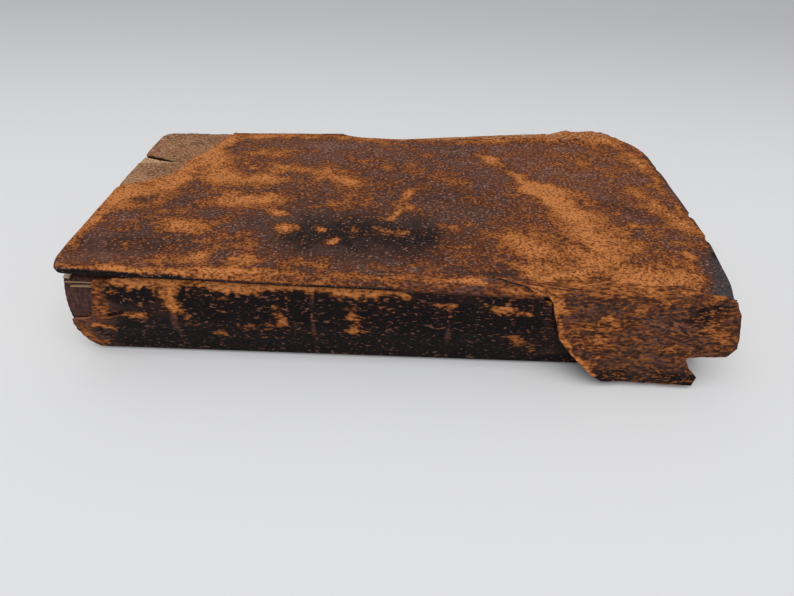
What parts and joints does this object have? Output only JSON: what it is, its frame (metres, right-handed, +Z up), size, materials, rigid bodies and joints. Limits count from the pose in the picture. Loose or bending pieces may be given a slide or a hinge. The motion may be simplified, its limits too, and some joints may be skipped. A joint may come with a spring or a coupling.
{
  "type": "antique leather book",
  "caption": "Closed antique book in worn full leather, with a warped front cover, a cracked joint, bare gatherings and a torn spine flap; its covers open on their joints.",
  "frame": {"origin": "middle of the back cover's underside, on the surface the book lies on", "axes": "+X along the spine from head to tail, +Y from the spine to the fore-edge, +Z up"},
  "size_m": [0.215, 0.1157, 0.0358],
  "materials": {
    "cover_leather": "worn calf, dark brown, rubbed to orange tan",
    "spine_leather": "worn calf, near black with rubbed patches",
    "flap_leather": "cracked calf, reddish brown",
    "pasteboard": "bare layered pasteboard, grey brown",
    "page_paper": "aged rag paper, cut edges browned",
    "endpaper": "aged laid paper, foxed",
    "hemp_cord": "twisted hemp, browned"
  },
  "bodies": {
    "back_cover": {"back_board": "pasteboard", "back_cover_leather": "cover_leather", "back_pastedown": "endpaper", "back_cord_slip_1": "hemp_cord", "back_cord_slip_2": "hemp_cord", "back_cord_slip_3": "hemp_cord", "back_cord_slip_4": "hemp_cord"},
    "text_block": {"text_block": "page_paper", "front_flyleaf": "endpaper", "back_flyleaf": "endpaper", "spine_leather": "spine_leather", "torn_spine_flap": "flap_leather", "sewing_cord_1": "hemp_cord", "sewing_cord_2": "hemp_cord", "sewing_cord_3": "hemp_cord", "sewing_cord_4": "hemp_cord"},
    "front_cover": {"front_board": "pasteboard", "front_cover_leather": "cover_leather", "front_pastedown": "endpaper", "front_cord_slip_1": "hemp_cord", "front_cord_slip_2": "hemp_cord", "front_cord_slip_3": "hemp_cord", "front_cord_slip_4": "hemp_cord"}
  },
  "joints": [
    {"name": "back_joint", "type": "hinge", "parent": "back_cover", "child": "text_block", "pos_m": [0, -0.0506, 0.0019], "axis": [1, 0, 0], "range_deg": [0, 160]},
    {"name": "front_joint", "type": "hinge", "parent": "text_block", "child": "front_cover", "pos_m": [0, -0.0506, 0.0313], "axis": [0.9998, 0, -0.0223], "range_deg": [0, 180]}
  ]
}
